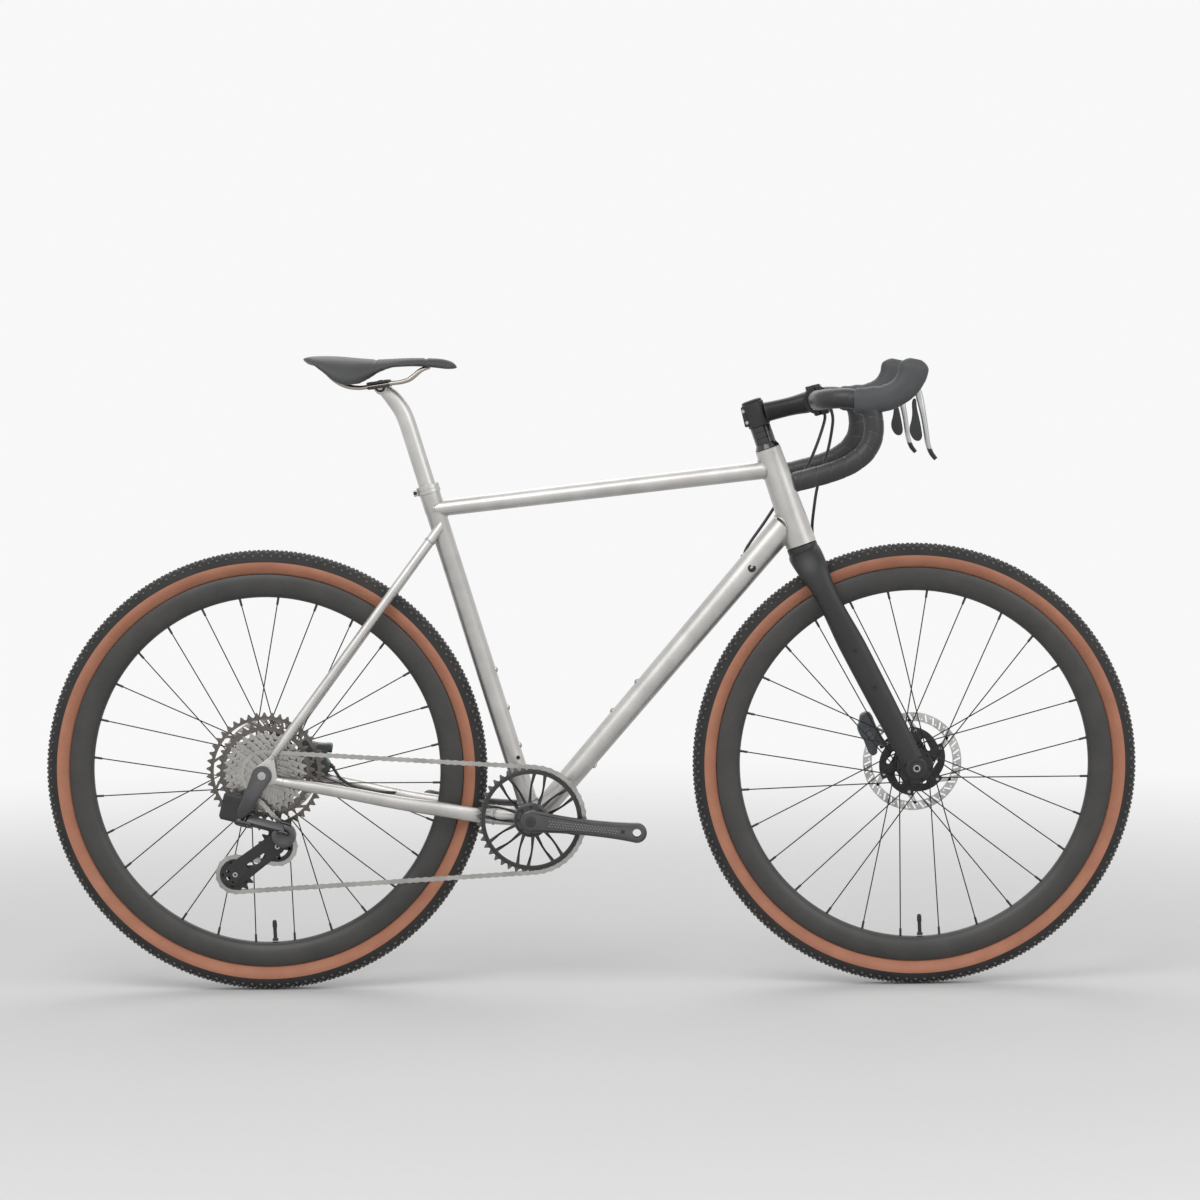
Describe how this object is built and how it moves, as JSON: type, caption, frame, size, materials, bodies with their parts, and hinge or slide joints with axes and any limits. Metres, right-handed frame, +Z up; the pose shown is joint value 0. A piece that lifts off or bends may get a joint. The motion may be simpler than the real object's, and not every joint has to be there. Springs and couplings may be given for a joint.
{
  "type": "gravel bicycle",
  "caption": "Drop-bar gravel bicycle with disc brakes, single chainring, wide cassette, long-cage derailleur and knobbly tan-wall tyres; wheels, cranks, steering and controls move.",
  "frame": {"origin": "centre of the bottom bracket, in the middle plane", "axes": "+X forward, +Y to the rider's left, +Z up; the wheels stand on the plane z = -0.277"},
  "size_m": [1.754, 0.4954, 1.022],
  "materials": {
    "anodised_black": "satin black anodised",
    "carbon_black": "satin black composite",
    "chain": "satin nickel",
    "crank_grey": "dark grey satin",
    "hood_rubber": "matt dark grey",
    "hose": "smooth black",
    "lever_grey": "satin silver grey",
    "rail": "satin",
    "rim": "satin charcoal composite",
    "saddle": "matt black cover",
    "spoke": "dark grey satin",
    "steel": "satin steel",
    "tape": "semi-matt black wrap",
    "titanium": "satin brushed titanium",
    "tyre": "matt black tread with terracotta sidewall"
  },
  "bodies": {
    "frame": {"head_tube": "titanium", "top_tube": "titanium", "down_tube": "titanium", "seat_tube": "titanium", "bb_shell": "titanium", "chainstay_right": "titanium", "chainstay_left": "titanium", "seatstay_right": "titanium", "seatstay_left": "titanium", "seat_collar": "titanium", "headset_bearing_upper": "steel", "headset_bearing_lower": "steel", "bb_cup_right": "anodised_black", "bb_cup_left": "anodised_black", "rear_axle": "anodised_black", "rear_caliper": "anodised_black", "rear_hose": "hose", "rear_hose_front": "hose", "chain": "chain", "derailleur_body": "anodised_black"},
    "steering": {"fork": "carbon_black", "headset_spacers": "anodised_black", "stem": "anodised_black", "stem_faceplate": "anodised_black", "stem_top_cap": "anodised_black", "handlebar": "carbon_black", "bar_tape_right": "tape", "bar_tape_left": "tape", "hood_right": "hood_rubber", "hood_left": "hood_rubber", "front_caliper": "anodised_black", "front_axle": "anodised_black", "front_hose": "hose"},
    "right_brake_lever": {"brake_lever_right": "lever_grey"},
    "left_brake_lever": {"brake_lever_left": "lever_grey"},
    "right_shift_paddle": {"shift_paddle_right": "carbon_black"},
    "left_shift_paddle": {"shift_paddle_left": "carbon_black"},
    "front_wheel": {"front_hub": "spoke", "front_rim": "rim", "front_tyre": "tyre", "front_rotor": "steel", "front_valve": "spoke"},
    "rear_wheel": {"rear_hub": "spoke", "rear_rim": "rim", "rear_tyre": "tyre", "rear_rotor": "steel", "rear_valve": "spoke"},
    "cog_set": {"cassette": "steel"},
    "crankset": {"crank_arm_right": "crank_grey", "crank_arm_left": "crank_grey", "chainring": "anodised_black"},
    "link_arm": {"derailleur_link": "anodised_black"},
    "cage_knuckle": {"derailleur_knuckle": "anodised_black"},
    "chain_cage": {"derailleur_cage": "anodised_black"},
    "guide_pulley": {"pulley_upper": "anodised_black"},
    "tension_pulley": {"pulley_lower": "anodised_black"},
    "post": {"seatpost": "titanium"},
    "seat": {"saddle_clamp": "anodised_black", "saddle_rails": "rail", "saddle": "saddle"}
  },
  "joints": [
    {"name": "steering_turn", "type": "hinge", "parent": "frame", "child": "steering", "pos_m": [0.4373, 0, 0.4336], "axis": [-0.3214, 0, 0.9469], "range_deg": [-70, 70], "deforming": ["rear_hose_front"]},
    {"name": "front_wheel_spin", "type": "hinge", "parent": "steering", "child": "front_wheel", "pos_m": [0.615, 0, 0.079], "axis": [0, 1, 0], "continuous": true},
    {"name": "rear_wheel_spin", "type": "hinge", "parent": "frame", "child": "rear_wheel", "pos_m": [-0.427, 0, 0.079], "axis": [0, 1, 0], "continuous": true},
    {"name": "crank_spin", "type": "hinge", "parent": "frame", "child": "crankset", "pos_m": [0, 0, 0], "axis": [0, 1, 0], "continuous": true, "deforming": ["chain"]},
    {"name": "cassette_spin", "type": "hinge", "parent": "frame", "child": "cog_set", "pos_m": [-0.427, 0, 0.079], "axis": [0, 1, 0], "continuous": true, "deforming": ["chain"]},
    {"name": "upper_pulley_spin", "type": "hinge", "parent": "chain_cage", "child": "guide_pulley", "pos_m": [-0.40732, 0, -0.03873], "axis": [0, 1, 0], "continuous": true, "deforming": ["chain"]},
    {"name": "lower_pulley_spin", "type": "hinge", "parent": "chain_cage", "child": "tension_pulley", "pos_m": [-0.47582, 0, -0.08324], "axis": [0, 1, 0], "continuous": true, "deforming": ["chain"]},
    {"name": "derailleur_link_pivot", "type": "hinge", "parent": "frame", "child": "link_arm", "pos_m": [-0.45, -0.07, 0.006], "axis": [0.1986, 0.6285, 0.752], "range_deg": [-25, 36], "deforming": ["chain"]},
    {"name": "derailleur_knuckle_pivot", "type": "hinge", "parent": "link_arm", "child": "cage_knuckle", "pos_m": [-0.397, -0.07, -0.008], "axis": [0.1986, 0.6285, 0.752], "range_deg": [-36, 25], "deforming": ["chain"]},
    {"name": "cage_pivot", "type": "hinge", "parent": "cage_knuckle", "child": "chain_cage", "pos_m": [-0.395, -0.0533, -0.019], "axis": [0, -1, 0], "range_deg": [-15, 65], "stiffness_Nm_per_rad": 1.5, "deforming": ["chain"]},
    {"name": "right_brake_lever_pull", "type": "hinge", "parent": "steering", "child": "right_brake_lever", "pos_m": [0.6035, -0.2135, 0.6975], "axis": [0, 1, 0], "range_deg": [0, 18], "stiffness_Nm_per_rad": 1.2, "springref_deg": -5.73},
    {"name": "left_brake_lever_pull", "type": "hinge", "parent": "steering", "child": "left_brake_lever", "pos_m": [0.6035, 0.2135, 0.6975], "axis": [0, 1, 0], "range_deg": [0, 18], "stiffness_Nm_per_rad": 1.2, "springref_deg": -5.73},
    {"name": "right_shift_paddle_push", "type": "hinge", "parent": "right_brake_lever", "child": "right_shift_paddle", "pos_m": [0.6055, -0.2135, 0.664], "axis": [0.2121, 0, -0.9773], "range_deg": [0, 8], "stiffness_Nm_per_rad": 0.4, "springref_deg": -2.86},
    {"name": "left_shift_paddle_push", "type": "hinge", "parent": "left_brake_lever", "child": "left_shift_paddle", "pos_m": [0.6055, 0.2135, 0.664], "axis": [-0.2121, 0, 0.9773], "range_deg": [0, 8], "stiffness_Nm_per_rad": 0.4, "springref_deg": -2.86},
    {"name": "seatpost_slide", "type": "slide", "parent": "frame", "child": "post", "axis": [-0.289, 0, 0.9573], "range_m": [-0.06, 0.03]},
    {"name": "saddle_tilt", "type": "hinge", "parent": "post", "child": "seat", "pos_m": [-0.2335, 0, 0.694], "axis": [0, 1, 0], "range_deg": [-12, 12]}
  ],
  "couplings": [
    {"joint": "cassette_spin", "follows": "crank_spin", "ratio": 2.4706},
    {"joint": "upper_pulley_spin", "follows": "crank_spin", "ratio": -3},
    {"joint": "lower_pulley_spin", "follows": "crank_spin", "ratio": 3},
    {"joint": "derailleur_knuckle_pivot", "follows": "derailleur_link_pivot", "ratio": -1}
  ]
}
